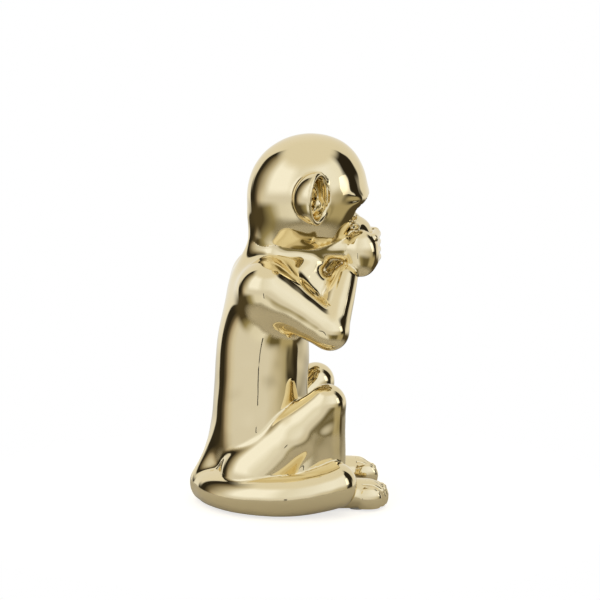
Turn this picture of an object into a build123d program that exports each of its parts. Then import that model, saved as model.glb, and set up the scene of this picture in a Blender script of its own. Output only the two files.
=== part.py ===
"""A seated monkey ornament in gold-plated slip-cast ceramic, with its hands over its mouth.

The figure is stuck up from separate castings: a hollow torso and head, and arms, hands, legs, feet,
ears and a tail that are luted on where they meet. A disc closes the pour hole in the underside, and
the ornament stands on small rubber bumpers. It looks along -Y, its left side is +X, and +Z is up.
The origin is at the middle of its footprint, on the surface that it stands on.
"""

import os
from math import cos, radians, sin

from build123d import *

# Casting
wall = 4.0  # thickness of the hollow castings
cut_overrun = 5.0  # how far a cutting tool runs past what it cuts
joint_inset = 0.2  # how far a limb's next bone lies inside the ball of its joint
lute_gap = 0.15  # gap that the slip fills round a plug or a collar

# Rubber bumpers under the figure
bumper_diameter = 9.0
bumper_height = 1.2
bumper_edge = 0.3
rear_bumper_out = 18.0
rear_bumper_forward = -30.0
front_bumper_forward = 33.0

# Torso, from the base to the top of the neck
torso_height = 164.0
torso_width = 66.0
torso_depth = 52.0
torso_setback = 17.0  # how far its axis lies behind the figure's reference axis
pour_hole_diameter = 30.0
vent_hole_diameter = 8.0
neck_vent_diameter = 5.0

# Height, set forward of the torso's axis, depth and width of each cross-section, as shares
torso_section_shares = (
    (0.00, 0.00, 0.90, 0.92),
    (0.11, -0.01, 0.99, 1.00),
    (0.256, -0.01, 1.00, 0.97),
    (0.393, 0.01, 0.975, 0.92),
    (0.54, 0.03, 0.945, 0.89),
    (0.66, 0.07, 0.87, 0.87),
    (0.76, 0.20, 0.95, 0.77),
    (0.837, 0.31, 0.93, 0.46),
    (0.905, 0.16, 0.55, 0.30),
    (0.96, 0.07, 0.38, 0.26),
    (1.00, 0.06, 0.27, 0.23),
)

# Head
head_width = 59.0
head_depth = 63.5
head_forward = 8.2  # centre, ahead of the reference axis
head_sink = 31.5  # how far the chin sits below the top of the neck
jaw_radius_share = 0.929  # of the cranium's radius
jaw_drop = 4.25  # from the cranium's middle down to the jaw's

# Face, as shares of the head's half sizes: out, forward and up from its centre, and radii
face_recess = 4.0  # how deep the face lies below the hair line
face_width = 34.0
face_height = 34.0
face_place_share = (0.0, 1.0, -0.30)
muzzle_place_share = (0.0, 0.74, -0.70)
muzzle_size_share = (0.42, 0.39, 0.38)
nose_place_share = (0.0, 0.95, -0.54)
nose_size_share = (0.14, 0.10, 0.10)
brow_place_share = (0.0, 0.78, 0.0)
brow_size_share = (0.60, 0.225, 0.12)
socket_place_share = (0.30, 0.88, -0.25)
socket_size_share = (0.20, 0.15, 0.17)
eye_place_share = (0.30, 0.68, -0.25)
eye_size_share = (0.135, 0.13, 0.125)

# Ears: cups on the sides of the head
ear_height_share = 0.441  # of the head's depth
ear_width_share = 0.331  # of the head's depth
ear_cup_share = 0.22  # depth of the cup, of the head's depth
ear_rim_share = 0.047  # thickness of the cup, of the head's depth
ear_yaw = 54.0  # degrees that the cup turns forward from straight out
ear_place_share = (1.12, 0.08, 0.08)
ear_ridge_share = 0.55  # inner fold's size beside the cup's mouth

# Arms
shoulder_share = (0.36, 0.03, 0.722)  # of torso width, depth and height, from its axis
shoulder_radius = 14.5
elbow_radius = 10.0
wrist_radius = 7.0
elbow_reach = 33.0  # ahead of the shoulder
elbow_drop = 21.8
elbow_spread = 7.3

# Hands, placed from the middle of the muzzle
hand_width = 15.0
hand_depth = 19.0
hand_length = 25.0
hand_out = 12.5
hand_forward = 4.7
hand_drop = 7.2
finger_radius = 2.7
finger_tip_radius = 2.7
finger_count = 4
finger_spacing = 4.3
finger_tip_gap = 0.3  # from the fingertips to the figure's middle plane
finger_tip_rise = 2.0
thumb_radius = 2.9

# Legs
hip_share = (0.315, -0.06, 0.107)  # of torso width, depth and height, from its axis
hip_radius = 20.5
knee_radius = 9.8
ankle_radius = 10.0
knee_reach = 36.4  # ahead of the hip
knee_rise = 40.0
knee_spread = 9.2
calf_top_radius = 9.0
calf_bottom_radius = 13.0
calf_top_setback = 6.0
calf_top_drop = 16.0
calf_bottom_setback = 14.0

# Feet
foot_length = 44.5
foot_width = 21.0
heel_height = 16.5
ball_height = 13.5
ball_setback_share = 0.75  # of a toe, from the toes' ends to the ball's middle
foot_out = 27.0
heel_setback = 9.0  # how far the heel reaches behind the ankle
sole_share = 0.8  # of the heel's and the ball's radius that stands above the sole
toe_width = 5.4
toe_length = 17.0
toe_height = 9.4
toe_reach_shares = (0.99, 1.0, 0.98, 0.94, 0.88)  # from the big toe outwards, of the foot's length

# Tail
tail_radius = 10.0
tail_side_gap = 7.5  # how far its middle lies outside the foot
tail_root_gap = 1.5  # how far its middle lies behind the torso
tail_root_radius = 12.5  # inside the back
tail_root_bend_radius = 11.0  # where the root meets the ground
tail_root_inset = 13.0  # how far the root starts inside the back
tail_root_height = 31.0
tail_tip_lift = 5.0
tail_tip_swell = 2.5
tail_start_angle = -3.0  # degrees round from straight behind, towards the right side
tail_end_angle = 127.0
tail_sections = 13
tip_round_share = 0.9  # of the tail's radius, on its tip


def place(out, forward, up):
    """A point given as distances to the figure's left, ahead and up."""
    return Vector(out, -forward, up)


def rounded_cone(start, start_radius, end, end_radius):
    """Two balls and the cone tangent to both, as one turned profile."""
    axis = end - start
    length = axis.length
    rise = (start_radius - end_radius) / length
    run = (1 - rise * rise) ** 0.5
    middle = ((1 + rise) / 2) ** 0.5, ((1 - rise) / 2) ** 0.5
    start_tangent = (start_radius * run, start_radius * rise)
    end_tangent = (end_radius * run, length + end_radius * rise)
    profile = [
        ThreePointArc(
            (0, -start_radius),
            (start_radius * middle[0], -start_radius * middle[1]),
            start_tangent,
        ),
        Line(start_tangent, end_tangent),
        ThreePointArc(
            end_tangent,
            (end_radius * middle[1], length + end_radius * middle[0]),
            (0, length + end_radius),
        ),
        Line((0, length + end_radius), (0, -start_radius)),
    ]
    turned = revolve(Plane.XZ * make_face(profile), Axis.Z)
    return Plane(origin=start, z_dir=axis) * turned


def ellipsoid(radii, centre, turn=0):
    """A ball stretched to three half sizes, turned about the vertical and set in place."""
    return Pos(centre) * Rot(0, 0, turn) * scale(Sphere(1), by=radii)


def torso_point(shares):
    """A point given as shares of the torso's width, depth and height, from its axis at the base."""
    out, forward, up = shares
    return place(out * torso_width, forward * torso_depth - torso_setback, base_height + up * torso_height)


def head_point(shares):
    """A point given as shares of the head's half width, half depth and half height, from its centre."""
    out, forward, up = shares
    return head_centre + place(out * head_width / 2, forward * head_depth / 2, up * head_height / 2)


def head_size(shares):
    """Three half sizes given as shares of the head's half width, half depth and half height."""
    return (shares[0] * head_width / 2, shares[1] * head_depth / 2, shares[2] * head_height / 2)


base_height = bumper_height
cranium_radius = head_depth / 2
jaw_radius = jaw_radius_share * cranium_radius
head_height = cranium_radius + jaw_drop + jaw_radius
head_centre = place(0, head_forward, base_height + torso_height - head_sink + head_height / 2)
ground = Pos(0, 0, base_height) * Box(
    torso_height * 2, torso_height * 2, torso_height, align=(Align.CENTER, Align.CENTER, Align.MAX)
)


def make_torso_form(inset):
    """Loft through elliptical cross-sections, each taken in by the inset."""
    sections = []
    for up, forward, depth, width in torso_section_shares:
        raised = Vector(0, 0, inset * (1 - 2 * up))
        plane = Plane(torso_point((0, forward, up)) + raised)
        sections.append(plane * Ellipse(width * torso_width / 2 - inset, depth * torso_depth / 2 - inset))
    return loft(sections)


def make_skull(inset):
    """A round cranium over a slightly smaller jaw, drawn in to the head's width."""
    cranium = head_centre + Vector(0, 0, head_height / 2 - cranium_radius)
    jaw = cranium - Vector(0, 0, jaw_drop)
    form = rounded_cone(cranium, cranium_radius - inset, jaw, jaw_radius - inset)
    return scale(form, by=(head_width / head_depth, 1, 1))


def both_sides(shares):
    """The same place on the left and on the right."""
    return shares, (-shares[0], shares[1], shares[2])


def make_head_form():
    """Skull with a sunken face, the muzzle and nose added, and eyes set in scooped sockets."""
    form = make_skull(0)
    outline = Plane(head_point(face_place_share), z_dir=place(0, 1, 0)) * Ellipse(face_width / 2, face_height / 2)
    form -= extrude(outline, amount=head_depth / 2, both=True) - make_skull(face_recess)
    form += ellipsoid(head_size(muzzle_size_share), head_point(muzzle_place_share))
    form += ellipsoid(head_size(brow_size_share), head_point(brow_place_share))
    for spot in both_sides(socket_place_share):
        form -= ellipsoid(head_size(socket_size_share), head_point(spot))
    for spot in both_sides(eye_place_share):
        form += ellipsoid(head_size(eye_size_share), head_point(spot))
    form += ellipsoid(head_size(nose_size_share), head_point(nose_place_share))
    return form


def make_ear(side):
    """An elliptical cup that opens forward and outward, with one fold inside; side is 1 left, -1 right."""
    out, forward, up = ear_place_share
    centre = head_point((side * out, forward, up))
    half_width, half_height = ear_width_share * head_depth / 2, ear_height_share * head_depth / 2
    cup_depth, rim = ear_cup_share * head_depth, ear_rim_share * head_depth
    cup = scale(Sphere(1), by=(half_width, cup_depth, half_height))
    front = Pos(0, -cup_depth, 0) * Box(half_height * 2, cup_depth * 2, half_height * 4)
    bowl = scale(Sphere(1), by=(half_width - rim, cup_depth - rim, half_height - rim))
    fold = scale(
        Torus(1 - ear_ridge_share / 2, ear_ridge_share / 3),
        by=(half_width * ear_ridge_share, half_height * ear_ridge_share, cup_depth * ear_ridge_share),
    )
    fold = Pos(0, cup_depth * ear_ridge_share, 0) * Rot(90, 0, 0) * fold
    ear = (cup - front - bowl) + (fold & cup)
    return Pos(centre) * Rot(0, 0, side * (90 - ear_yaw)) * ear


def make_limb(joints):
    """Rounded cones from joint to joint, each starting just inside the ball that ends the one before."""
    limb = rounded_cone(*joints[0], *joints[1])
    for (start, start_radius), (end, end_radius) in zip(joints[1:], joints[2:]):
        limb += rounded_cone(start, start_radius - joint_inset, end, end_radius)
    return limb


def make_leg():
    """Left leg: thigh from hip to raised knee, shin down to the ankle, and the calf folded between them."""
    leg = make_limb([(hip, hip_radius), (knee, knee_radius), (ankle, ankle_radius)])
    return leg + make_limb([(calf_top, calf_top_radius), (calf_bottom, calf_bottom_radius)]) - ground


def make_foot():
    """Left foot: a wide rounded sole from heel to ball, with a row of toes in front."""
    heel_radius = heel_height / (1 + sole_share)
    ball_radius = ball_height / (1 + sole_share)
    heel_end = ankle.Y + heel_setback
    heel = Vector(0, heel_end - heel_radius, base_height + sole_share * heel_radius)
    ball_middle = heel_end - foot_length + toe_length * ball_setback_share
    ball = Vector(0, ball_middle, base_height + sole_share * ball_radius)
    sole = scale(
        rounded_cone(heel, heel_radius, ball, ball_radius), by=(foot_width / (2 * heel_radius), 1, 1)
    )
    spacing = (foot_width - toe_width) / (len(toe_reach_shares) - 1)
    for number, reach in enumerate(toe_reach_shares):
        out = toe_width / 2 - foot_width / 2 + number * spacing
        tip = heel_end - foot_length * reach
        centre = Vector(out, tip + toe_length / 2, base_height + sole_share * toe_height / 2)
        sole += ellipsoid((toe_width / 2, toe_length / 2, toe_height / 2), centre)
    return Pos(foot_out, 0, 0) * sole - ground


def make_hand():
    """Left hand: a palm on the side of the mouth, fingers across it and a thumb up the cheek."""
    form = ellipsoid((hand_width / 2, hand_depth / 2, hand_length / 2), palm)
    lip = head_point(muzzle_place_share) + place(0, head_size(muzzle_size_share)[1] + finger_tip_radius / 2, 0)
    for number in range(finger_count):
        up = (number - (finger_count - 1) / 2) * finger_spacing + finger_spacing / 2
        knuckle = palm + place(0, hand_depth / 3, up)
        tip = Vector(finger_tip_gap + finger_tip_radius, lip.Y, knuckle.Z + finger_tip_rise)
        form += rounded_cone(knuckle, finger_radius, tip, finger_tip_radius)
    thumb_root = palm + place(0, 0, hand_length / 4)
    thumb_tip = palm + place(-hand_width / 6, hand_depth / 6, hand_length * 2 / 3)
    return form + rounded_cone(thumb_root, thumb_radius, thumb_tip, finger_tip_radius)


def tail_middle(angle):
    """Middle and radius of the tail at an angle round the figure, from straight behind to its right."""
    tip_share = (angle / tail_end_angle) ** 3
    radius = tail_radius + tail_tip_swell * tip_share
    out = -(foot_out + foot_width / 2 + tail_side_gap) * sin(radians(angle))
    forward = -(torso_depth / 2 + torso_setback + tail_root_gap) * cos(radians(angle))
    up = base_height + sole_share * radius + tail_tip_lift * tip_share
    return place(out, forward, up), radius


def make_tail():
    """Tail lofted through circles round the right side to a rounded tip, with a root up into the back."""
    turn = (tail_end_angle - tail_start_angle) / (tail_sections - 1)
    middles = [tail_middle(tail_start_angle + turn * number) for number in range(tail_sections)]
    rings = []
    for number, (middle, radius) in enumerate(middles):
        before = middles[max(number - 1, 0)][0]
        after = middles[min(number + 1, tail_sections - 1)][0]
        rings.append(Plane(origin=middle, z_dir=after - before) * Circle(radius))
    form = loft(rings)
    end = form.faces().sort_by_distance(middles[-1][0])[0]
    form = fillet(end.edges(), tail_radius * tip_round_share)
    bend = tail_middle(0)[0] + Vector(0, 0, sole_share * (tail_root_bend_radius - tail_radius))
    root = place(0, tail_root_inset - torso_depth / 2 - torso_setback, base_height + tail_root_height)
    return form + rounded_cone(root, tail_root_radius, bend, tail_root_bend_radius) - ground


hip = torso_point(hip_share)
knee = hip + place(knee_spread, knee_reach, knee_rise)
ankle = Vector(foot_out, knee.Y, base_height + heel_height - ankle_radius / 2)
calf_top = knee + place(0, -calf_top_setback, -calf_top_drop)
calf_bottom = ankle + place(0, -calf_bottom_setback, 0)
shoulder = torso_point(shoulder_share)
elbow = shoulder + place(elbow_spread, elbow_reach, -elbow_drop)
palm = head_point(muzzle_place_share) + place(hand_out, hand_forward, -hand_drop)
wrist = palm + place(hand_width / 4, -hand_depth / 2, -hand_length / 2)

torso_form = make_torso_form(0)
head_form = make_head_form()
leg_form = make_leg()
foot_form = make_foot()
arm_form = make_limb([(shoulder, shoulder_radius), (elbow, elbow_radius), (wrist, wrist_radius)])
hand_form = make_hand()
tail_form = make_tail()


def bottom_cylinder(diameter, height, centre):
    """An upright cylinder that stands on its centre point."""
    return Pos(centre) * Cylinder(diameter / 2, height, align=(Align.CENTER, Align.CENTER, Align.MIN))


def make_torso_shell():
    """Hollow torso, open through the pour hole in its base and through a vent into the head."""
    shell = torso_form - make_torso_form(wall)
    below = torso_point((0, 0, 0)) - Vector(0, 0, cut_overrun)
    shell -= bottom_cylinder(pour_hole_diameter, wall + 2 * cut_overrun, below)
    neck = torso_point((0, torso_section_shares[-1][1], 1)) - Vector(0, 0, wall + cut_overrun)
    return shell - bottom_cylinder(neck_vent_diameter, wall + 2 * cut_overrun, neck)


def make_base_disc():
    """Disc that closes the pour hole, with the vent hole through it."""
    centre = torso_point((0, 0, 0))
    disc = bottom_cylinder(pour_hole_diameter - 2 * lute_gap, wall, centre)
    below = centre - Vector(0, 0, cut_overrun)
    return disc - bottom_cylinder(vent_hole_diameter, wall + 2 * cut_overrun, below)


def make_bumper(centre):
    """Round rubber bumper with a softened lower edge."""
    bumper = bottom_cylinder(bumper_diameter, bumper_height, centre)
    return fillet(bumper.edges().group_by(Axis.Z)[0], bumper_edge)


def right(form):
    """The same form on the figure's right side."""
    return mirror(form, about=Plane.YZ)


pieces = {
    "torso_shell": make_torso_shell(),
    "head_shell": head_form - torso_form - make_skull(wall + face_recess),
    "base_disc": make_base_disc(),
    "left_ear": make_ear(1) - head_form,
    "right_ear": make_ear(-1) - head_form,
    "tail": tail_form - torso_form - right(leg_form) - leg_form - right(foot_form),
}
limbs = {
    "arm": arm_form - torso_form - head_form,
    "hand": hand_form - head_form - arm_form,
    "leg": leg_form - torso_form,
    "foot": foot_form - leg_form,
    "rear_bumper": make_bumper(place(rear_bumper_out, rear_bumper_forward, 0)),
    "front_bumper": make_bumper(place(foot_out, front_bumper_forward, 0)),
}
for name, limb in limbs.items():
    pieces["left_" + name] = limb
    pieces["right_" + name] = right(limb)

boxes = [piece.bounding_box() for piece in pieces.values()]
low = Vector(min(box.min.X for box in boxes), min(box.min.Y for box in boxes), 0)
high = Vector(max(box.max.X for box in boxes), max(box.max.Y for box in boxes), 0)
footprint_middle = (low + high) / 2
os.makedirs("parts", exist_ok=True)
for name, piece in pieces.items():
    export_step(Pos(-footprint_middle) * piece, f"parts/{name}.step")
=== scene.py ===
"""A seated monkey ornament in gold-plated ceramic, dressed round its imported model.

Each casting is the zero surface of a distance field: rounded cones, ellipsoids and an elliptical column in
millimetres, rounded into its neighbours where the castings were luted together. Two-parameter surfaces
can't give those rounded joins, so the skin is found on a grid of cells and moved onto the surface.
Lengths inside the figure are millimetres: out to its left, ahead of its reference axis, and up.
"""

from math import cos, radians, sin

import bpy
import numpy as np
from bpy.props import FloatProperty, FloatVectorProperty, PointerProperty
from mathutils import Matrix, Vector


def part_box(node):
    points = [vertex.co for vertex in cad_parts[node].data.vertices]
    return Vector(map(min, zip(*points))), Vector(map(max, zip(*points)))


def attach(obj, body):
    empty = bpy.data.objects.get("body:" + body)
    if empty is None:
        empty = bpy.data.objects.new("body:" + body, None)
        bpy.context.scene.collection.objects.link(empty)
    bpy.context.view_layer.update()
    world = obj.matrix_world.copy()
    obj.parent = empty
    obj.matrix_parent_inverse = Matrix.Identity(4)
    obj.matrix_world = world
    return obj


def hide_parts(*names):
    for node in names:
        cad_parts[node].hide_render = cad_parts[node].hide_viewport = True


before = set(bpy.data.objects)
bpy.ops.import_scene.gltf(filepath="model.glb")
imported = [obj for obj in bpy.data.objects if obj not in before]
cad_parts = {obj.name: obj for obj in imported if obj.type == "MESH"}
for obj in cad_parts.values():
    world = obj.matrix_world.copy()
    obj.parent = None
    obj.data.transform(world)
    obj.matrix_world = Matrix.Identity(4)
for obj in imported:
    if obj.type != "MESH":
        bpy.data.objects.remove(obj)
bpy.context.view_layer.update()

bl_info = {
    "name": "Gold Monkey Ornament",
    "version": (1, 0, 0),
    "blender": (4, 5, 0),
    "location": "View3D > Sidebar > Ornament",
    "description": "Builds a seated gold-plated ceramic monkey and its studio",
    "category": "Object",
}

MM = 0.001
BODY = "root"
TINY = 1e-9


def length(name, description, millimetres):
    """A length property, given in millimetres and kept in metres."""
    return FloatProperty(name=name, description=description, default=millimetres * MM, unit="LENGTH")


def angle(name, description, degrees):
    """An angle property, given in degrees and kept in radians."""
    return FloatProperty(name=name, description=description, default=radians(degrees), subtype="ANGLE")


def linear(hex_colour):
    """Linear red, green and blue of an sRGB hex colour."""
    values = np.array([int(hex_colour[i : i + 2], 16) for i in (1, 3, 5)]) / 255
    return tuple(np.where(values <= 0.04045, values / 12.92, ((values + 0.055) / 1.055) ** 2.4))


def colour(name, description, hex_colour):
    """A colour property, given as an sRGB hex value."""
    return FloatVectorProperty(
        name=name, description=description, default=linear(hex_colour), size=3, subtype="COLOR", min=0, max=1
    )


class BodySizes(bpy.types.PropertyGroup):
    """Sizes of the torso, limbs and tail."""

    base_height: length("Base height", "Underside of the castings above the table", 1.2)
    torso_height: length("Torso height", "From the base to the top of the neck", 164)
    torso_width: length("Torso width", "Widest cross-section", 66)
    torso_depth: length("Torso depth", "Deepest cross-section", 52)
    torso_setback: length("Torso setback", "Torso axis behind the reference axis", 17)
    shoulder_radius: length("Shoulder radius", "Ball of the shoulder", 14.5)
    elbow_radius: length("Elbow radius", "Ball of the elbow", 10)
    wrist_radius: length("Wrist radius", "Ball of the wrist", 7)
    hip_radius: length("Hip radius", "Ball of the hip", 20.5)
    knee_radius: length("Knee radius", "Ball of the knee", 9.8)
    ankle_radius: length("Ankle radius", "Ball of the ankle", 10)
    thigh_radius: length("Thigh radius", "Middle of the thigh", 15.8)
    calf_top_radius: length("Calf top radius", "Upper end of the calf", 9)
    calf_radius: length("Calf radius", "Lower end of the calf", 13)
    tail_radius: length("Tail radius", "Along the side of the figure", 10)
    tail_reach: angle("Tail reach", "Turn from straight behind to the tail's tip", 115)


class HeadSizes(bpy.types.PropertyGroup):
    """Sizes of the head, ears, hands and feet."""

    head_width: length("Head width", "Across the cranium", 59)
    head_depth: length("Head depth", "Front to back", 63.5)
    head_height: length("Head height", "Chin to crown", 65.5)
    head_forward: length("Head forward", "Centre ahead of the reference axis", 8.2)
    head_sink: length("Head sink", "Chin below the top of the neck", 31.5)
    jaw_radius: length("Jaw radius", "Ball of the jaw", 29.5)
    face_recess: length("Face recess", "Depth of the face below the hair line", 4)
    face_width: length("Face width", "Outline of the sunken face", 34)
    face_height: length("Face height", "From the sunken face's widest level to its lower end", 20)
    ear_height: length("Ear height", "Outer rim, top to bottom", 28)
    ear_width: length("Ear width", "Outer rim, side to side", 21)
    ear_depth: length("Ear depth", "From the rim to the back of the cup", 14)
    ear_rim: length("Ear rim", "Thickness of the cup at its edge", 2.6)
    ear_yaw: angle("Ear yaw", "Turn of the cup forward from straight out", 54)
    ear_roll: angle("Ear roll", "Lean of the cup's top towards the face", 6)
    finger_radius: length("Finger radius", "At the knuckle", 2.7)
    foot_length: length("Foot length", "Heel to toe", 44.5)
    foot_width: length("Foot width", "Across the toes", 21)


class Finish(bpy.types.PropertyGroup):
    """Colours and fineness."""

    gold: colour("Gold", "Electroplated gold, seen square on", "#ecddb4")
    bisque: colour("Bisque", "Unglazed clay of the base disc", "#e6ddcb")
    rubber: colour("Rubber", "Bumpers", "#d2d2cc")
    floor: colour("Floor", "Table top", "#c5bfb1")
    stand: colour("Stand", "Camera stand", "#191816")
    cell: length("Cell", "Grid step of the large castings", 1.0)
    fine_cell: length("Fine cell", "Grid step of the ears, hands and feet", 0.55)
    ripple: length("Ripple", "Height of the slow waves in the hand-finished surface", 0.16)


def spline(knots, values, at):
    """Natural cubic spline: second derivatives from one linear system, then a cubic on each span."""
    step = np.diff(knots)
    rows = np.arange(1, len(knots) - 1)
    matrix = np.eye(len(knots))
    matrix[rows, rows - 1] = step[:-1]
    matrix[rows, rows] = 2 * (step[:-1] + step[1:])
    matrix[rows, rows + 1] = step[1:]
    slopes = np.diff(values) / step
    right = np.zeros(len(knots))
    right[rows] = 6 * np.diff(slopes)
    bend = np.linalg.solve(matrix, right)
    span = np.clip(np.searchsorted(knots, at) - 1, 0, len(knots) - 2)
    run = at - knots[span]
    start = slopes[span] - step[span] * (2 * bend[span] + bend[span + 1]) / 6
    change = (bend[span + 1] - bend[span]) / (6 * step[span])
    return values[span] + run * (start + run * (bend[span] / 2 + run * change))


def smooth_step(value):
    """0 below 0, 1 above 1, and a smooth rise between."""
    value = np.clip(value, 0, 1)
    return value * value * (3 - 2 * value)


def join(first, second, reach):
    """Smaller of two distances, with a cubic round where they differ by less than the reach."""
    near = np.maximum(reach - np.abs(first - second), 0) / reach
    return np.minimum(first, second) - near**3 * reach / 6


def carve(form, tool, reach):
    """Form without the tool, with a rounded edge."""
    return -join(-form, tool, reach)


def rounded_cone(points, start, start_radius, end, end_radius):
    """Distance to two balls and the cone tangent to both."""
    axis = end - start
    square = axis @ axis
    shrink = start_radius - end_radius
    slope = square - shrink * shrink
    offset = points - start
    along = offset @ axis
    beyond = along - square
    across = np.sum((offset * square - along[:, None] * axis) ** 2, axis=1)
    limit = np.sign(shrink) * shrink * shrink * across
    side = (np.sqrt(across * slope / square) + along * shrink) / square - start_radius
    foot = np.sqrt(across + along * along * square) / square - start_radius
    tip = np.sqrt(across + beyond * beyond * square) / square - end_radius
    body = np.where(np.sign(along) * slope * along * along * square < limit, foot, side)
    return np.where(np.sign(beyond) * slope * beyond * beyond * square > limit, tip, body)


def ellipsoid(points, centre, radii):
    """Distance to a ball or circle stretched to its half sizes, from its level and gradient."""
    offset = (points - centre) / radii
    level = np.sqrt(np.sum(offset**2, axis=1)) + TINY
    slope = np.sqrt(np.sum((offset / radii) ** 2, axis=1)) + TINY
    return level * (level - 1) / slope


def left_sided(points):
    """Points with those on the right moved to their mirror place on the left."""
    return np.abs(points * (1, 0, 0)) + points * (0, 1, 1)


def place(out, forward, up):
    """A point given as distances to the figure's left, ahead and up."""
    return np.array([out, -forward, up], float)


class Figure:
    """Joints of the figure in millimetres, and a distance field for each casting."""

    # Height, set forward of the torso's axis, depth and width of each cross-section, as shares
    torso_sections = (
        (0.00, 0.00, 0.90, 0.92),
        (0.11, -0.01, 0.99, 1.00),
        (0.256, -0.01, 1.00, 0.97),
        (0.393, 0.01, 0.975, 0.92),
        (0.54, 0.03, 0.945, 0.89),
        (0.66, 0.07, 0.87, 0.87),
        (0.76, 0.20, 0.95, 0.77),
        (0.837, 0.31, 0.93, 0.46),
        (0.905, 0.16, 0.55, 0.30),
        (0.96, 0.07, 0.38, 0.26),
        (1.00, 0.06, 0.27, 0.23),
    )

    # Places of the shoulder and the hip as shares of the torso, and of the ear as shares of the head
    shoulder_share = (0.36, 0.03, 0.722)
    hip_share = (0.315, -0.06, 0.107)
    ear_share = (1.12, 0.08, 0.08)

    # Steps in millimetres from one place to the next
    elbow_step = place(7.3, 33, -21.8)  # from the shoulder
    palm_step = place(12.5, 4.7, -7.2)  # from the middle of the muzzle
    wrist_step = place(3.75, -9.5, -12.5)  # from the palm
    knee_step = place(9.2, 36.4, 40)  # from the hip
    calf_top_step = place(0, -6, -16)  # from the knee
    calf_bottom_step = place(0, -14, 0)  # from the ankle
    ankle_out, ankle_height = 27.0, 11.5

    # Reach of the rounded joins at the base and inside the limbs
    base_reach, elbow_reach, thigh_reach, calf_reach, knee_reach = 1.2, 3, 3, 8, 2.5

    # Shoulder's join: wide down the back, narrower in the crook of the arm, and the distance between
    back_reach, crook_reach, shoulder_fade = 19, 10, 15

    # Fullness round the neck: a collar from ball to ball, and a pad on either side of the chest
    collar = (place(9, -8, 139), 7, place(11, 30, 139), 5.5)
    chest_pad = (place(13, 9, 117), (10, 10, 13))
    collar_reach, pad_reach = 5, 6

    # Forehead and nape, their middles as shares of the head's half sizes
    forehead_share, forehead_radii, forehead_reach = (0, 0.21, 0.245), (24, 23.6, 23.6), 8
    nape_share, nape_radius, nape_reach = (0, -0.2, -0.1), 24, 6
    nape_end, nape_end_radius = place(0, -6, 147), 17

    # Sunken face: its widest level, the rise from there to the hair line, the distance over which it starts
    # ahead of the head's middle, and the softness of the hair line
    face_level_share, face_rise, face_fade, face_edge_share = -0.20, 8, 8, 0.125

    # Soft forms on the face: how each is worked in, its middle and half sizes as shares, and its join's reach
    muzzle_share, muzzle_size_share = (0, 0.74, -0.70), (0.42, 0.39, 0.38)
    face_forms = (
        (join, muzzle_share, muzzle_size_share, 4),
        (join, (0, 0.78, 0.0), (0.60, 0.225, 0.12), 10),  # brow
        (carve, (0.30, 0.88, -0.25), (0.20, 0.15, 0.17), 2.5),  # sockets
        (join, (0.30, 0.68, -0.25), (0.135, 0.13, 0.125), 0.6),  # eyes
        (join, (0, 0.95, -0.54), (0.14, 0.10, 0.10), 2),  # nose
    )

    # Ear: the ridge lies a share of the way from the cup's middle to its edge; its half width is a share of
    # the rim's thickness, and its drop below the mouth a share of the depth
    ridge_share, ridge_width_share, ridge_drop_share = 0.58, 0.4, 0.2
    ridge_reach, ridge_top_reach = 1, 1.4
    ear_hollow_reach, ear_mouth_reach, ear_edge_reach = 0.6, 1, 0.5
    ear_lobe_share, ear_lobe_radii, ear_lobe_reach = (0.5, -0.3, -0.25), (2.6, 3.4, 3.4), 1.2

    # Hand: fingers side by side on the lip, and tips that cross to the far cheek. Such a tip is given by how
    # far ahead it and its bridge lie, and by its height
    palm_radii = (7.5, 9.5, 12.5)
    finger_count, finger_spacing, finger_reach = 4, 4.1, 1.2
    knuckle_ahead, lip_gap = 19 / 3, 1.35
    tip_out, tip_rise, tip_radius = 3.0, 1, 2.7
    cross_tips = ((31.5, 34.0, 155.2), (33.0, 36.0, 150.6), (36.0, 39.5, 146.2))
    cross_out, cross_drop, cross_reach = 12, 1, 0.8
    bridge_radius, cross_radius = 2.4, 2.1
    nail_step, nail_radii, nail_reach = place(-1.4, 0.6, 0), (0.9, 1.7, 1.4), 0.3

    # Foot: sole, toes, the grooves between them and the nails. A ball's middle stands a share of its radius
    # above the base
    sole_share = 0.8
    heel_radius, heel_setback = 16.5 / (1 + sole_share), 9
    ball_radius, ball_setback = 14.5 / (1 + sole_share), 13
    toe_shares = np.array([0.955, 0.97, 0.96, 0.925, 0.86])
    toe_width, toe_rise, toe_radii, toe_reach = 5.4, 4.6, (3.0, 7.0, 7.3), 1.5
    groove_half_width, groove_length, groove_depth, groove_reach = 0.3, 12, 1.4, 0.7
    toenail_setback, toenail_rise, toenail_radii = 2.5, 8.8, (1.5, 1.4, 1.9)

    # Tail: its path round the figure, the angle below which a point counts as past the tip, the fuller tip,
    # and the root in the back
    tail_span, tail_gap, tail_wrap = 45, 1.5, -1.6
    tail_tip_swell, tail_tip_lift = 2.5, 5
    tail_root_inset, tail_root_height, tail_root_reach = 13, 31, 4
    tail_root_radius, tail_bend_radius = 12.5, 11

    def __init__(self, scene):
        for group in (scene.monkey_body, scene.monkey_head):
            for name in group.bl_rna.properties.keys():
                value = getattr(group, name)
                if isinstance(value, float):
                    unit = 1 if group.bl_rna.properties[name].subtype == "ANGLE" else MM
                    setattr(self, name, value / unit)
        self.ripple = scene.monkey_finish.ripple / MM
        self.set_joints()

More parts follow.
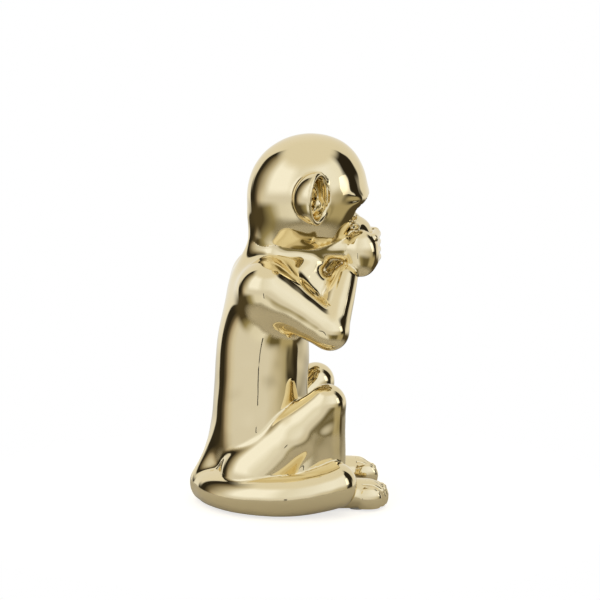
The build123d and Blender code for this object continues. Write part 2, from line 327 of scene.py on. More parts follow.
    def set_joints(self):
        """Places that follow from the sizes."""
        chin = self.base_height + self.torso_height - self.head_sink
        self.head_centre = place(0, self.head_forward, chin + self.head_height / 2)
        self.muzzle = self.head_point(*self.muzzle_share)
        self.shoulder = self.torso_point(*self.shoulder_share)
        self.elbow = self.shoulder + self.elbow_step
        self.palm = self.muzzle + self.palm_step
        self.wrist = self.palm + self.wrist_step
        self.hip = self.torso_point(*self.hip_share)
        self.knee = self.hip + self.knee_step
        self.ankle = np.array([self.ankle_out, self.knee[1], self.base_height + self.ankle_height])
        self.calf_top = self.knee + self.calf_top_step
        self.calf_bottom = self.ankle + self.calf_bottom_step

    def torso_point(self, out, forward, up):
        """A point given as shares of the torso's width, depth and height."""
        return place(
            out * self.torso_width,
            forward * self.torso_depth - self.torso_setback,
            self.base_height + up * self.torso_height,
        )

    def head_point(self, out, forward, up):
        """A point given as shares of the head's half width, half depth and half height."""
        return self.head_centre + self.head_size(out, -forward, up)

    def head_size(self, *shares):
        """Half sizes given as shares of the head's."""
        return np.array(shares) * (self.head_width / 2, self.head_depth / 2, self.head_height / 2)

    def grounded(self, points, distance):
        """The form cut off flat at the base, with a softened edge."""
        return carve(distance, points[:, 2] - self.base_height, self.base_reach)

    def torso(self, points):
        """Elliptical cross-sections whose centre and half sizes run in splines up the height."""
        up, forward, depth, width = np.array(self.torso_sections).T
        heights = self.base_height + up * self.torso_height
        at = np.clip(points[:, 2], heights[0], heights[-1])
        back = self.torso_setback - spline(heights, forward, at) * self.torso_depth
        half_width = spline(heights, width, at) * self.torso_width / 2
        half_depth = spline(heights, depth, at) * self.torso_depth / 2
        middle = np.stack([np.zeros(len(at)), back], axis=1)
        ring = ellipsoid(points[:, :2], middle, np.stack([half_width, half_depth], axis=1))
        sided = left_sided(points)
        form = np.maximum(ring, points[:, 2] - heights[-1])
        form = join(form, rounded_cone(sided, *self.collar), self.collar_reach)
        form = join(form, ellipsoid(sided, *self.chest_pad), self.pad_reach)
        return self.grounded(points, form)

    def skull(self, points):
        """Cranium and jaw, drawn in to the head's width."""
        draw = self.head_width / self.head_depth
        cranium = self.head_centre + place(0, 0, self.head_height / 2 - self.head_depth / 2)
        jaw = self.head_centre - place(0, 0, self.head_height / 2 - self.jaw_radius)
        return rounded_cone(points / (draw, 1, 1), cranium, self.head_depth / 2, jaw, self.jaw_radius)

    def head(self, points):
        """Skull with the face let in below the hair line, then muzzle, brow, nose, sockets and eyes."""
        sided = left_sided(points)
        level = points[:, 2] - self.head_point(0, 1, self.face_level_share)[2]
        level = np.where(level < 0, level / self.face_height, level / self.face_rise)
        outline = np.hypot(2 * points[:, 0] / self.face_width, level) - 1
        ahead = smooth_step((self.head_centre[1] - points[:, 1]) / self.face_fade)
        forehead = ellipsoid(points, self.head_point(*self.forehead_share), self.forehead_radii)
        form = join(self.skull(points), forehead, self.forehead_reach)
        nape_start = self.head_point(*self.nape_share)
        nape = rounded_cone(points, nape_start, self.nape_radius, self.nape_end, self.nape_end_radius)
        form = join(form, nape, self.nape_reach)
        form = form + self.face_recess * ahead * smooth_step(0.5 - outline / self.face_edge_share)
        for work, middle, size, reach in self.face_forms:
            form = work(form, ellipsoid(sided, self.head_point(*middle), self.head_size(*size)), reach)
        local, half = self.ear_place(sided)
        hollow = ellipsoid(local, np.zeros(3), half - self.ear_rim / 4)
        return carve(form, hollow, self.ear_hollow_reach)

    def ear_place(self, points):
        """Points as the left ear has them (across its mouth, out of it, up), and its half sizes."""
        facing = place(cos(self.ear_yaw), sin(self.ear_yaw), 0)
        level_across = place(-sin(self.ear_yaw), cos(self.ear_yaw), 0)
        across = level_across * cos(self.ear_roll) - place(0, 0, sin(self.ear_roll))
        upright = level_across * sin(self.ear_roll) + place(0, 0, cos(self.ear_roll))
        local = (points - self.head_point(*self.ear_share)) @ np.stack([across, facing, upright], axis=1)
        return local, np.array([self.ear_width / 2, self.ear_depth, self.ear_height / 2]) - self.ear_rim / 2

    def ear(self, points):
        """A deep cup with a rounded edge, a ridge round its hollow and a lobe, facing out and forward."""
        local, half = self.ear_place(points)
        bowl = ellipsoid(local, np.zeros(3), half)
        form = carve(np.abs(bowl) - self.ear_rim / 2, -local[:, 1], self.ear_mouth_reach)
        level = np.hypot(local[:, 0] / half[0], local[:, 2] / half[2])
        middle = (half[0] + half[2]) / 2
        edge = np.hypot((level - 1) * middle, local[:, 1]) - self.ear_rim / 2
        form = join(form, edge, self.ear_edge_reach)
        ridge = np.abs(level - self.ridge_share) * middle - self.ear_rim * self.ridge_width_share
        above = -local[:, 1] - self.ridge_drop_share * half[1]
        ridge = carve(ridge, above, self.ridge_top_reach)
        form = join(form, np.maximum(ridge, bowl), self.ridge_reach)
        lobe = ellipsoid(local, half * self.ear_lobe_share, self.ear_lobe_radii)
        return join(form, lobe, self.ear_lobe_reach)

    def arm(self, points):
        """Upper arm from shoulder to elbow, and forearm from elbow to wrist."""
        upper = rounded_cone(points, self.shoulder, self.shoulder_radius, self.elbow, self.elbow_radius)
        fore = rounded_cone(points, self.elbow, self.elbow_radius, self.wrist, self.wrist_radius)
        return join(upper, fore, self.elbow_reach)

    def shoulder_reach(self, points):
        """Reach of the shoulder's rounded join at each point."""
        ahead = smooth_step((self.shoulder[1] - points[:, 1]) / self.shoulder_fade)
        return self.back_reach + (self.crook_reach - self.back_reach) * ahead

    def hand(self, points):
        """Palm beside the mouth, fingers across it, and tips with nails on the far cheek."""
        form = ellipsoid(points, self.palm, self.palm_radii)
        lip = self.muzzle[1] - self.head_size(*self.muzzle_size_share)[1] - self.lip_gap
        for number in range(self.finger_count):
            knuckle = self.palm + place(0, self.knuckle_ahead, (number - 1) * self.finger_spacing)
            tip = np.array([self.tip_out, lip, knuckle[2] + self.tip_rise])
            finger = rounded_cone(points, knuckle, self.finger_radius, tip, self.tip_radius)
            form = join(form, finger, self.finger_reach)
        for tip_ahead, bridge_ahead, level in self.cross_tips:
            bridge = place(0, bridge_ahead, level - self.cross_drop)
            tip = place(-self.cross_out, tip_ahead, level)
            finger = rounded_cone(points, bridge, self.bridge_radius, tip, self.cross_radius)
            nail = ellipsoid(points, tip + self.nail_step, self.nail_radii)
            form = join(form, join(finger, nail, self.nail_reach), self.cross_reach)
        return form

    def leg(self, points):
        """Thigh up to the knee, shin down to the ankle, and the calf folded between them."""
        middle = (self.hip + self.knee) / 2
        thigh = rounded_cone(points, self.hip, self.hip_radius, middle, self.thigh_radius)
        upper = rounded_cone(points, middle, self.thigh_radius, self.knee, self.knee_radius)
        thigh = join(thigh, upper, self.thigh_reach)
        shin = rounded_cone(points, self.knee, self.knee_radius, self.ankle, self.ankle_radius)
        calf = rounded_cone(points, self.calf_top, self.calf_top_radius, self.calf_bottom, self.calf_radius)
        lower = join(shin, calf, self.calf_reach)
        return self.grounded(points, join(thigh, lower, self.knee_reach))

    def foot(self, points):
        """A wide sole from heel to ball, with a row of toes and their nails in front."""
        heel_end = self.ankle[1] + self.heel_setback
        front = heel_end - self.foot_length
        heel_level = self.base_height + self.sole_share * self.heel_radius
        ball_level = self.base_height + self.sole_share * self.ball_radius
        heel = np.array([0, heel_end - self.heel_radius, heel_level])
        ball = np.array([0, front + self.ball_setback, ball_level])
        local = points - (self.ankle[0], 0, 0)
        widen = self.foot_width / (2 * self.heel_radius)
        form = rounded_cone(local / (widen, 1, 1), heel, self.heel_radius, ball, self.ball_radius)
        tips = heel_end - self.foot_length * self.toe_shares
        spacing = (self.foot_width - self.toe_width) / (len(tips) - 1)
        outs = self.toe_width / 2 - self.foot_width / 2 + np.arange(len(tips)) * spacing
        for out, tip in zip(outs, tips):
            toe = np.array([out, tip + self.toe_radii[1], self.base_height + self.toe_rise])
            form = join(form, ellipsoid(local, toe, self.toe_radii), self.toe_reach)
        for out, tip in zip((outs[1:] + outs[:-1]) / 2, (tips[1:] + tips[:-1]) / 2):
            side = np.abs(local[:, 0] - out) - self.groove_half_width
            slot = np.maximum(side, local[:, 1] - tip - self.groove_length)
            form = carve(form, np.maximum(slot, -form - self.groove_depth), self.groove_reach)
        for out, tip in zip(outs, tips):
            nail = np.array([out, tip + self.toenail_setback, self.base_height + self.toenail_rise])
            form = join(form, ellipsoid(local, nail, self.toenail_radii), self.nail_reach)
        return self.grounded(points, form)

    def tail(self, points):
        """Tube along an elliptical path on the ground, with a root up into the back.

        The nearest angle on the path starts from the point's own angle and is improved twice.
        """
        behind = self.torso_depth / 2 + self.torso_setback
        long, wide = behind + self.tail_gap, self.tail_span
        around = np.arctan2(-points[:, 0] / wide, points[:, 1] / long)
        around = np.where(around < self.tail_wrap, around + 2 * np.pi, around)
        for _ in range(2):
            s, c = np.sin(around), np.cos(around)
            miss = np.stack([-wide * s - points[:, 0], long * c - points[:, 1]])
            slope = np.stack([-wide * c, -long * s])
            around = around - np.sum(miss * slope, axis=0) / np.sum(slope**2, axis=0)
        around = np.clip(around, 0, self.tail_reach)
        tip = (around / self.tail_reach) ** 3
        radius = self.tail_radius + self.tail_tip_swell * tip
        level = self.base_height + self.sole_share * radius + self.tail_tip_lift * tip
        middle = np.stack([-wide * np.sin(around), long * np.cos(around), level], axis=1)
        tube = np.sqrt(np.sum((points - middle) ** 2, axis=1)) - radius
        start = place(0, self.tail_root_inset - behind, self.base_height + self.tail_root_height)
        bend = np.array([0, long, self.base_height + self.sole_share * self.tail_bend_radius])
        root = rounded_cone(points, start, self.tail_root_radius, bend, self.tail_bend_radius)
        return self.grounded(points, join(tube, root, self.tail_root_reach))

    def field(self, kind, side, points):
        """Distance to one casting; a right-hand one is the left one seen in a mirror."""
        return getattr(self, kind)(points * (side, 1, 1) if side else points)

    def ripples(self, points):
        """Slow crossing waves of the hand-finished clay: sines whose lengths are millimetres to a radian."""
        x, y, z = points.T
        slow = np.sin(x / 5.3 + z / 7.3 + np.sin(z / 11)) + np.sin(z / 4.3 + y / 6.1 + 2 + np.sin(x / 9))
        quick = np.sin(x / 2.9 - y / 2.3 + 3 + np.sin(z / 6)) * np.sin(z / 2.6 + y / 4.3 + np.sin(x / 7))
        return self.ripple * (slow / 2 + quick / 5)


# Castings that are luted together, and the reach of each rounded join; the shoulder has its own
SEAMS = (
    ("torso", "head", 3.0),
    ("torso", "arm", None),
    ("torso", "leg", 2.5),
    ("torso", "tail", 11.0),
    ("head", "ear", 2.5),
    ("head", "hand", 1.2),
    ("arm", "hand", 4.0),
    ("torso", "hand", 3.0),
    ("leg", "foot", 4.0),
    ("leg", "tail", 1.6),
    ("foot", "tail", 2.0),
)
PAIRED = ("ear", "arm", "hand", "leg", "foot")
# How far a casting runs on past its seam, and how far it dips there under its neighbour's skin
SEAM_OVERLAP = 1.2
SEAM_SINK = 0.12
# Room for the joins round a casting's box
JOIN_ROOM = 4
WIDE_JOIN_ROOM = {"torso": 14, "tail": 14}

# Steps in which the skin settles on the surface, and the least square of the slope that they reckon with
SETTLE_STEPS = 4
LEAST_SLOPE = 0.05


def neighbours(kind, side):
    """Castings that a casting touches, with the reach of each join."""
    for first, second, reach in SEAMS:
        if kind in (first, second):
            other = second if kind == first else first
            sides = (0,) if other not in PAIRED else ((side,) if side else (1, -1))
            for other_side in sides:
                yield other, other_side, reach


def casting_field(figure, kind, side):
    """Field of one casting: joined to its neighbours, and ended a little past the seam, under their skin."""

    def field(points):
        own = figure.field(kind, side, points)
        whole = own
        nearest = np.full(len(points), np.inf)
        for other, other_side, reach in neighbours(kind, side):
            beside = figure.field(other, other_side, points)
            whole = join(whole, beside, figure.shoulder_reach(points) if reach is None else reach)
            nearest = np.minimum(nearest, beside)
        whole = figure.grounded(points, whole)
        past = own - nearest
        sink = SEAM_SINK * np.clip(past / SEAM_OVERLAP, 0, 1) ** 2
        return np.maximum(whole + figure.ripples(points) + sink, past - SEAM_OVERLAP)

    return field


def in_slabs(field, points, size=200000):
    """Field values, worked out a slab at a time to bound the memory."""
    return np.concatenate([field(points[i : i + size]) for i in range(0, len(points), size)])


def gradient(field, points, step=0.02):
    """Slope of the field along each axis, from values a small step either side."""
    slopes = [in_slabs(field, points + d) - in_slabs(field, points - d) for d in np.eye(3) * step]
    return np.stack(slopes, axis=1) / (2 * step)


def skin(field, low, high, step):
    """Zero surface of a field: a vertex in each grid cell that it crosses, a quad round each crossed edge.

    A vertex starts at the mean of its cell's edge crossings and moves along the gradient onto the surface.
    """
    counts = np.ceil((high - low) / step).astype(int) + 1
    axes = [low[i] + step * np.arange(counts[i]) for i in range(3)]
    grid = np.stack(np.meshgrid(*axes, indexing="ij"), axis=-1).reshape(-1, 3)
    values = in_slabs(field, grid).reshape(counts)
    inside = values < 0
    cells = counts - 1

    def corner(array, offset):
        """The array's value at one corner of every cell."""
        return array[tuple(slice(o, o + n) for o, n in zip(offset, cells))]

    corners = [(i, j, k) for i in (0, 1) for j in (0, 1) for k in (0, 1)]
    filled = sum(corner(inside, c).astype(int) for c in corners)
    crossed = (filled > 0) & (filled < len(corners))
    number = np.full(cells, -1)
    number[crossed] = np.arange(crossed.sum())
    total = np.zeros((crossed.sum(), 3))
    found = np.zeros(crossed.sum())
    for axis in range(3):
        for start in corners:
            if start[axis]:
                continue
            end = tuple(start[i] + (i == axis) for i in range(3))
            first, last = corner(values, start)[crossed], corner(values, end)[crossed]
            cut = (first < 0) != (last < 0)
            share = np.where(cut, first / np.where(cut, first - last, 1), 0)
            spot = np.tile(np.array(start, float), (len(share), 1))
            spot[:, axis] += share
            total += spot * cut[:, None]
            found += cut
    points = low + (np.argwhere(crossed) + total / found[:, None]) * step
    quads = []
    for axis in range(3):
        second, third = (axis + 1) % 3, (axis + 2) % 3
        first = inside.take(range(cells[axis]), axis)
        last = inside.take(range(1, counts[axis]), axis)
        edges = np.argwhere(first != last)
        keep = (edges[:, second] > 0) & (edges[:, third] > 0)
        keep &= (edges[:, second] < cells[second]) & (edges[:, third] < cells[third])
        edges = edges[keep]
        outward = first[tuple(edges.T)]
        ring = []
        for back_second, back_third in ((1, 1), (0, 1), (0, 0), (1, 0)):
            cell = edges.copy()
            cell[:, second] -= back_second
            cell[:, third] -= back_third
            ring.append(number[tuple(cell.T)])
        quad = np.stack(ring, axis=1)
        quads.append(np.where(outward[:, None], quad, quad[:, ::-1]))
    for _ in range(SETTLE_STEPS):
        slope = gradient(field, points)
        square = np.maximum(np.sum(slope**2, axis=1), LEAST_SLOPE)
        move = in_slabs(field, points)[:, None] * slope / square[:, None]
        size = np.linalg.norm(move, axis=1, keepdims=True)
        points = points - move * np.minimum(1, step / 2 / np.maximum(size, TINY))
    slope = gradient(field, points)
    normals = slope / np.maximum(np.linalg.norm(slope, axis=1, keepdims=True), TINY)
    return points, np.concatenate(quads), normals


def figure_origin():
    """Foot of the figure's reference axis in the frame, in metres; the base disc is on the torso's axis."""
    low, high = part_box("base_disc")
    setback = bpy.context.scene.monkey_body.torso_setback
    return np.array([(low.x + high.x) / 2, (low.y + high.y) / 2 - setback, 0])


def add_mesh(name, points, quads, normals=None):
    """A mesh object at the origin from arrays of points, four-sided faces and vertex normals."""
    mesh = bpy.data.meshes.new(name)
    mesh.vertices.add(len(points))
    mesh.vertices.foreach_set("co", np.ascontiguousarray(points, np.float32).ravel())
    mesh.loops.add(quads.size)
    mesh.loops.foreach_set("vertex_index", np.ascontiguousarray(quads, np.int32).ravel())
    mesh.polygons.add(len(quads))
    mesh.polygons.foreach_set("loop_start", np.arange(0, quads.size, 4, dtype=np.int32))
    mesh.update(calc_edges=True)
    mesh.validate()
    mesh.polygons.foreach_set("use_smooth", np.ones(len(mesh.polygons), bool))
    if normals is not None:
        mesh.normals_split_custom_set_from_vertices(normals.tolist())
    piece = bpy.data.objects.new(name, mesh)
    bpy.context.scene.collection.objects.link(piece)
    return piece


def add_casting(kind, side, nodes, cell):
    """One casting: its skin over the box of its nodes, with the gold finish."""
    figure = Figure(bpy.context.scene)
    origin = figure_origin()
    corners = np.array([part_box(node) for node in nodes])
    room = WIDE_JOIN_ROOM.get(kind, JOIN_ROOM)
    low = (corners[:, 0].min(axis=0) - origin) / MM - room
    high = (corners[:, 1].max(axis=0) - origin) / MM + room
    step = cell / MM * 1
    points, quads, normals = skin(casting_field(figure, kind, side), low, high, step)
    piece = add_mesh("gold_" + nodes[0], points * MM + origin, quads, normals)
    piece.data.materials.append(material("gold_electroplate_on_glaze", gold_plate))
    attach(piece, BODY)
    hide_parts(*nodes)


def add_node(tree, kind, links=(), **settings):
    """Adds one shader node: settings fill its properties or inputs, links join (output, input) pairs."""
    node = tree.nodes.new("ShaderNode" + kind)
    sockets = {}
    for name, value in settings.items():
        if hasattr(node, name):
            setattr(node, name, value)
        else:
            sockets[name.replace("_", " ").title()] = value
    for name, value in sockets.items():
        node.inputs[name].default_value = value
    for output, name in links:
        tree.links.new(output, node.inputs[name])
    return node


def map_range(tree, value, links=(), **settings):
    """The value moved from one range into another."""
    return add_node(tree, "MapRange", [(value, "Value"), *links], **settings).outputs["Result"]


def fade(tree, value, edge):
    """A smooth rise from 0 to 1 while the value goes from edge to edge."""
    return map_range(tree, value, interpolation_type="SMOOTHSTEP", from_min=edge[0], from_max=edge[1])


def add_grain(tree, millimetres, detail):
    """Noise on the object's own coordinates, in patches of about the given size."""
    where = add_node(tree, "TexCoord").outputs["Object"]
    scale = 1 / (millimetres * MM)
    grain = add_node(tree, "TexNoise", [(where, "Vector")], scale=scale, detail=detail)
    return grain.outputs["Fac"]


COLOUR_INPUTS = (6, 7)
COLOUR_OUTPUT = 2


def mix_colour(tree, share, first, second):
    """The first colour turned into the second by the share; each is an output or red, green and blue."""
    mix = add_node(tree, "Mix", [(share, "Factor")], data_type="RGBA")
    for number, value in zip(COLOUR_INPUTS, (first, second)):
        if isinstance(value, bpy.types.NodeSocket):
            tree.links.new(value, mix.inputs[number])
        else:
            mix.inputs[number].default_value = (*value, 1)
    return mix.outputs[COLOUR_OUTPUT]


def principled(tree, links=(), **settings):
    """Output of one surface shader."""
    return add_node(tree, "BsdfPrincipled", links, **settings).outputs["BSDF"]


def material(name, surface):
    """The material of that name, made from the surface's nodes when it is first asked for."""
    made = bpy.data.materials.get(name)
    if made is None:
        made = bpy.data.materials.new(name)
        made.use_nodes = True
        tree = made.node_tree
        tree.nodes.clear()
        shader = surface(tree, bpy.context.scene.monkey_finish)
        add_node(tree, "OutputMaterial", [(shader, "Surface")])
    return made


# Patches in each material, in millimetres
WIPE_SIZE = 22
GRIT_SIZE = 0.8
GRIT_SHADE = 0.82  # of the clay's brightness
CLOUD_SIZE = 3


def gold_plate(tree, finish):
    """Gold electroplate over glaze: a pale gold mirror, a little softer where it was wiped."""
    rough = map_range(tree, add_grain(tree, WIPE_SIZE, 4.0), to_min=0.015, to_max=0.07)
    return principled(tree, [(rough, "Roughness")], base_color=(*finish.gold, 1), metallic=1.0)


def bisque_clay(tree, finish):
    """Unglazed fired clay: matt, faintly speckled with a darker grit."""
    grit = add_grain(tree, GRIT_SIZE, 3.0)
    tint = mix_colour(tree, grit, finish.bisque, [GRIT_SHADE * c for c in finish.bisque])
    return principled(tree, [(tint, "Base Color")], roughness=0.85)


def bumper_rubber(tree, finish):
    """Clear-grey moulded rubber: satin, slightly clouded."""
    rough = map_range(tree, add_grain(tree, CLOUD_SIZE, 2.0), to_min=0.4, to_max=0.6)
    return principled(tree, [(rough, "Roughness")], base_color=(*finish.rubber, 1))


def pair(kind):
    """The left and the right casting of a kind, with their nodes."""
    return (kind, 1, ("left_" + kind,)), (kind, -1, ("right_" + kind,))


class CastingOperator:
    """Shared by the operators that make gold castings."""

    bl_options = {"REGISTER", "UNDO"}
    castings = ()
    fine = False

    def execute(self, context):
        finish = context.scene.monkey_finish
        cell = finish.fine_cell if self.fine else finish.cell
        for kind, side, nodes in self.castings:
            add_casting(kind, side, nodes, cell)
        return {"FINISHED"}


class MONKEY_OT_torso(CastingOperator, bpy.types.Operator):
    """Make the torso with its neck"""

    bl_idname = "monkey.torso"
    bl_label = "Torso"
    castings = (("torso", 0, ("torso_shell",)),)


class MONKEY_OT_head(CastingOperator, bpy.types.Operator):
    """Make the head with its sunken face, brow, eyes, nose and muzzle"""

    bl_idname = "monkey.head"
    bl_label = "Head"
    castings = (("head", 0, ("head_shell",)),)


class MONKEY_OT_ears(CastingOperator, bpy.types.Operator):
    """Make the cupped ears"""

    bl_idname = "monkey.ears"
    bl_label = "Ears"
    castings = pair("ear")
    fine = True


class MONKEY_OT_arms(CastingOperator, bpy.types.Operator):
    """Make the bent arms"""

    bl_idname = "monkey.arms"
    bl_label = "Arms"
    castings = pair("arm")


class MONKEY_OT_hands(CastingOperator, bpy.types.Operator):
    """Make the hands over the mouth"""

    bl_idname = "monkey.hands"
    bl_label = "Hands"
    castings = pair("hand")
    fine = True


class MONKEY_OT_legs(CastingOperator, bpy.types.Operator):
    """Make the folded legs"""

    bl_idname = "monkey.legs"
    bl_label = "Legs"
    castings = pair("leg")


class MONKEY_OT_feet(CastingOperator, bpy.types.Operator):
    """Make the feet with toes and nails"""

    bl_idname = "monkey.feet"
    bl_label = "Feet"
    castings = pair("foot")
    fine = True


class MONKEY_OT_tail(CastingOperator, bpy.types.Operator):
    """Make the tail wrapped round the right side"""

    bl_idname = "monkey.tail"
    bl_label = "Tail"
    castings = (("tail", 0, ("tail",)),)


class MONKEY_OT_underside(bpy.types.Operator):
    """Finish the base disc and the bumpers"""

    bl_idname = "monkey.underside"
    bl_label = "Underside"
    bl_options = {"REGISTER", "UNDO"}

    def execute(self, context):
        clay = material("unglazed_bisque_clay", bisque_clay)
        rubber = material("moulded_bumper_rubber", bumper_rubber)
        for name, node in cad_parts.items():
            if name == "base_disc" or name.endswith("bumper"):
                node.data.materials.clear()
                node.data.materials.append(clay if name == "base_disc" else rubber)
        return {"FINISHED"}


class StageSettings(bpy.types.PropertyGroup):
    """Camera and studio."""

    azimuth: angle("Azimuth", "Direction that the camera looks from, round the figure", 264.5)
    elevation: angle("Elevation", "Camera above the horizon", 10)
    distance: length("Distance", "Camera to the aim point", 1500)
    aim_height: length("Aim height", "Height of the aim point", 110.8)
    aim_right: length("Aim right", "Aim point to the right of the middle, as the camera sees it", 5.7)
    view_width: length("View width", "Width seen at the aim point", 322.6)


def add_lamp(name, place_at, target, size, power):
    """A rectangular soft lamp that faces its target."""
    data = bpy.data.lights.new(name, "AREA")
    data.shape = "RECTANGLE"
    data.size, data.size_y = size
    data.energy = power
    lamp = bpy.data.objects.new(name, data)
    bpy.context.scene.collection.objects.link(lamp)
    lamp.location = place_at
    aim(lamp, target)


def aim(thing, target):
    """Turns a lamp or camera so that it looks at the target."""
    toward = Vector(target) - thing.location
    thing.rotation_euler = toward.to_track_quat("-Z", "Y").to_euler()


def flat_card(name, centre, right, up, finish):
    """A flat rectangle as a grid of two by two points: centre plus and minus right and up."""
    centre, right, up = (np.array(v, float) for v in (centre, right, up))
    points = np.array([centre - right - up, centre + right - up, centre + right + up, centre - right + up])
    card = add_mesh(name, points, np.array([[0, 1, 2, 3]]))
    card.data.materials.append(finish)
    return card


# Where the floor starts to fade into the white backdrop and where it is gone, in metres from the figure
FLOOR_FADE = (0.1, 0.2)
# Glow of the floor as the camera sees it, and in reflections
FLOOR_GLOW = 0.7
FLOOR_GLOSSY_GLOW = 0.04


def studio_floor(tree, finish):
    """Matt table top that fades out; a glow lifts it to white for the camera, and a little in reflections."""
    path = add_node(tree, "LightPath").outputs
    glossy = map_range(tree, path["Is Glossy Ray"], to_max=FLOOR_GLOSSY_GLOW)
    lift = map_range(tree, path["Is Camera Ray"], [(glossy, "To Min")], to_max=FLOOR_GLOW)
    links = [(lift, "Emission Strength")]
    top = principled(tree, links, base_color=(*finish.floor, 1), roughness=0.9, emission_color=(1, 1, 1, 1))
    where = add_node(tree, "TexCoord").outputs["Object"]
    far = add_node(tree, "VectorMath", [(where, 0)], operation="LENGTH").outputs["Value"]
    clear = add_node(tree, "BsdfTransparent").outputs["BSDF"]
    links = [(fade(tree, far, FLOOR_FADE), 0), (top, 1), (clear, 2)]
    return add_node(tree, "MixShader", links).outputs["Shader"]


def black_metal(tree, finish):
    """Painted black metal of the camera stand: matt."""
    return principled(tree, base_color=(*finish.stand, 1), roughness=0.9)


# Soft lamp to the right of the camera: its turn, then metres and watts
SOFTBOX_TURN = radians(72)
SOFTBOX_DISTANCE = 0.9
SOFTBOX_HEIGHT = 0.32
SOFTBOX_SIZE = (0.28, 0.4)
SOFTBOX_POWER = 0.26
SOFTBOX_AIM_HEIGHT = 0.1

# Camera stand that the gold mirrors, below the figure's level and to the left, in metres
STAND_DISTANCE = 1.4
STAND_LEFT = 0.33
STAND_HALF_WIDTH = 0.03
STAND_HALF_HEIGHT = 0.22

SENSOR_WIDTH = 36.0  # millimetres
CLIP_END = 20  # metres

# Light of the studio round the figure, by degrees from the camera. At eye level: a pale tent in front with
# a dark opening on either side, and the backdrop behind
TENT = (
    (-180, "#d9d8d5"), (-137, "#d9d8d5"), (-134, "#2a261e"), (-118, "#2a261e"),
    (-110, "#5b5242"), (-103, "#a3998a"), (-92, "#c6c3bd"), (-80, "#cbcbcd"),
    (10, "#cbcbcd"), (40, "#bebab0"), (64, "#a09a86"), (74, "#26221b"),
    (104, "#26221b"), (107, "#d3d1cd"), (180, "#d9d8d5"),
)
# Above it: the lit white cloth, cooler than the room, between the tops of the same openings
TENT_TOP = (
    (-180, "#d5d3cf"), (-130, "#d5d3cf"), (-127, "#2a261e"), (-118, "#2a261e"),
    (-108, "#6e6553"), (-92, "#b5b0a5"), (-74, "#ecf1ff"), (-38, "#ecf1ff"),
    (-18, "#d6d8dc"), (35, "#e4e9f6"), (72, "#dfe2e8"), (84, "#26221b"),
    (116, "#26221b"), (119, "#cfcdc8"), (180, "#d5d3cf"),
)
# Below it: the dim room, with the pale table in front to the left
TENT_FOOT = (
    (-180, "#463e2c"), (-96, "#463e2c"), (-72, "#8d8566"), (-48, "#cfcfce"),
    (-14, "#d6d7d9"), (0, "#8d8566"), (16, "#5f573c"), (40, "#5f573c"),
    (54, "#a0977a"), (84, "#a0977a"), (93, "#463e2c"), (180, "#463e2c"),
)
CEILING = "#d2d0cb"
UNDER = "#544c33"
# Sine of the height where each band gives way to the next, from its start to its end
TOP_EDGE = (-0.06, 0.26)
CEILING_EDGE = (0.7, 0.9)
FOOT_EDGE = (-0.1, -0.34)
UNDER_EDGE = (-0.55, -0.8)
TENT_STRENGTH = 1.3


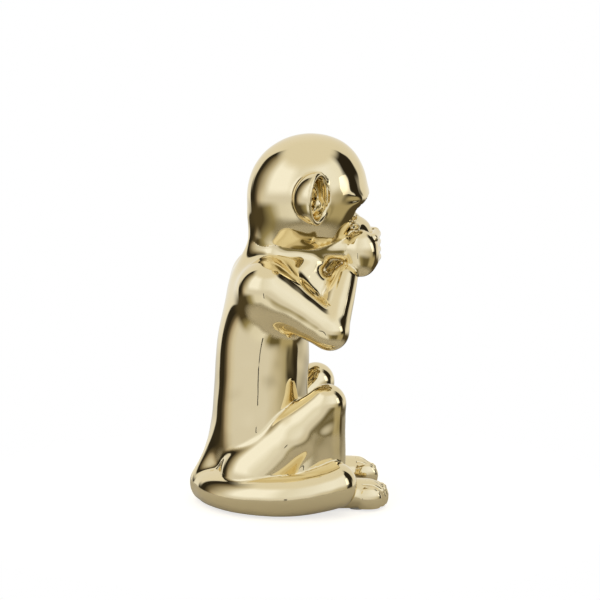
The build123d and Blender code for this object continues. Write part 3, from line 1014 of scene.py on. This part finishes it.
class MONKEY_OT_stage(bpy.types.Operator):
    """Make the floor, camera stand, lamp, world and camera"""

    bl_idname = "monkey.stage"
    bl_label = "Stage"
    bl_options = {"REGISTER", "UNDO"}

    def execute(self, context):
        scene = context.scene
        stage = scene.monkey_stage
        scene.view_settings.view_transform = "Standard"
        floor = material("pale_studio_floor", studio_floor)
        flat_card("studio_floor", (0, 0, 0), (FLOOR_FADE[1], 0, 0), (0, FLOOR_FADE[1], 0), floor)
        turn = stage.azimuth
        look = np.array([-sin(turn), cos(turn), 0])
        right = np.array([cos(turn), sin(turn), 0])
        up = np.array([0, 0, 1.0])
        target = right * stage.aim_right + up * stage.aim_height
        beside = right * sin(SOFTBOX_TURN) - look * cos(SOFTBOX_TURN)
        softbox = SOFTBOX_DISTANCE * beside + up * SOFTBOX_HEIGHT
        add_lamp("key_softbox", softbox, up * SOFTBOX_AIM_HEIGHT, SOFTBOX_SIZE, SOFTBOX_POWER)
        stand = material("black_camera_stand", black_metal)
        middle = up * -STAND_HALF_HEIGHT - look * STAND_DISTANCE - right * STAND_LEFT
        card = flat_card("camera_stand", middle, right * STAND_HALF_WIDTH, up * STAND_HALF_HEIGHT, stand)
        card.visible_camera = False
        self.add_world(scene, -look, right)
        self.add_camera(scene, stage, look, target)
        return {"FINISHED"}

    def add_world(self, scene, toward, right):
        """The tent by direction, its ceiling overhead, and plain white to the camera."""
        world = bpy.data.worlds.new("studio_world")
        scene.world = world
        world.use_nodes = True
        tree = world.node_tree
        tree.nodes.clear()
        where = add_node(tree, "TexCoord").outputs["Generated"]
        parts = []
        for axis in (right, toward):
            dot = add_node(tree, "VectorMath", [(where, 0)], operation="DOT_PRODUCT")
            dot.inputs[1].default_value = axis
            parts.append(dot.outputs["Value"])
        links = [(parts[0], 0), (parts[1], 1)]
        turn = add_node(tree, "Math", links, operation="ARCTAN2").outputs["Value"]
        share = map_range(tree, turn, from_min=radians(-180), from_max=radians(180))
        height = add_node(tree, "SeparateXYZ", [(where, "Vector")]).outputs["Z"]
        light = self.add_band(tree, share, TENT)
        top, foot = self.add_band(tree, share, TENT_TOP), self.add_band(tree, share, TENT_FOOT)
        light = mix_colour(tree, fade(tree, height, TOP_EDGE), light, top)
        light = mix_colour(tree, fade(tree, height, CEILING_EDGE), light, linear(CEILING))
        light = mix_colour(tree, fade(tree, height, FOOT_EDGE), light, foot)
        light = mix_colour(tree, fade(tree, height, UNDER_EDGE), light, linear(UNDER))
        seen = add_node(tree, "LightPath").outputs["Is Camera Ray"]
        light = mix_colour(tree, seen, light, (1, 1, 1))
        strength = map_range(tree, seen, to_min=TENT_STRENGTH, to_max=1.0)
        links = [(light, "Color"), (strength, "Strength")]
        background = add_node(tree, "Background", links).outputs["Background"]
        add_node(tree, "OutputWorld", [(background, "Surface")])

    def add_band(self, tree, share, stops):
        """Colours round the figure, from stops in degrees."""
        ramp = add_node(tree, "ValToRGB", [(share, "Fac")])
        elements = ramp.color_ramp.elements
        for degrees, hex_colour in stops:
            at = (degrees + 180) / 360
            stop = elements[0] if degrees == -180 else elements[-1] if degrees == 180 else elements.new(at)
            stop.position = at
            stop.color = (*linear(hex_colour), 1)
        return ramp.outputs["Color"]

    def add_camera(self, scene, stage, look, target):
        """Camera at the photographed angle; the lens follows from the width seen at the aim point."""
        data = bpy.data.cameras.new("camera")
        camera = bpy.data.objects.new("camera", data)
        scene.collection.objects.link(camera)
        rise = stage.elevation
        view = look * cos(rise) - np.array([0, 0, sin(rise)])
        camera.location = target - view * stage.distance
        aim(camera, target)
        data.sensor_width = SENSOR_WIDTH
        data.lens = data.sensor_width * stage.distance / stage.view_width
        data.clip_end = CLIP_END
        scene.camera = camera


class MONKEY_PT_panel(bpy.types.Panel):
    """Sidebar panel that lists the pieces and their sizes"""

    bl_label = "Gold Monkey"
    bl_idname = "MONKEY_PT_panel"
    bl_space_type = "VIEW_3D"
    bl_region_type = "UI"
    bl_category = "Ornament"

    def draw(self, context):
        for operator in OPERATORS:
            self.layout.operator(operator.bl_idname)
        for name in GROUPS:
            group = getattr(context.scene, name)
            box = self.layout.box()
            for key in group.bl_rna.properties.keys():
                if key not in ("name", "rna_type"):
                    box.prop(group, key)


GROUPS = {
    "monkey_body": BodySizes,
    "monkey_head": HeadSizes,
    "monkey_finish": Finish,
    "monkey_stage": StageSettings,
}
OPERATORS = (
    MONKEY_OT_torso, MONKEY_OT_head, MONKEY_OT_ears, MONKEY_OT_arms, MONKEY_OT_hands,
    MONKEY_OT_legs, MONKEY_OT_feet, MONKEY_OT_tail, MONKEY_OT_underside, MONKEY_OT_stage,
)
CLASSES = (*GROUPS.values(), *OPERATORS, MONKEY_PT_panel)


def register():
    """Registers the property groups, operators and panel."""
    for kind in CLASSES:
        bpy.utils.register_class(kind)
    for name, group in GROUPS.items():
        setattr(bpy.types.Scene, name, PointerProperty(type=group))


def unregister():
    """Removes what register added."""
    for name in GROUPS:
        delattr(bpy.types.Scene, name)
    for kind in reversed(CLASSES):
        bpy.utils.unregister_class(kind)


def main():
    """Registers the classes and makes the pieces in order."""
    register()
    for operator in OPERATORS:
        group, name = operator.bl_idname.split(".")
        getattr(getattr(bpy.ops, group), name)()


if __name__ == "__main__":
    main()
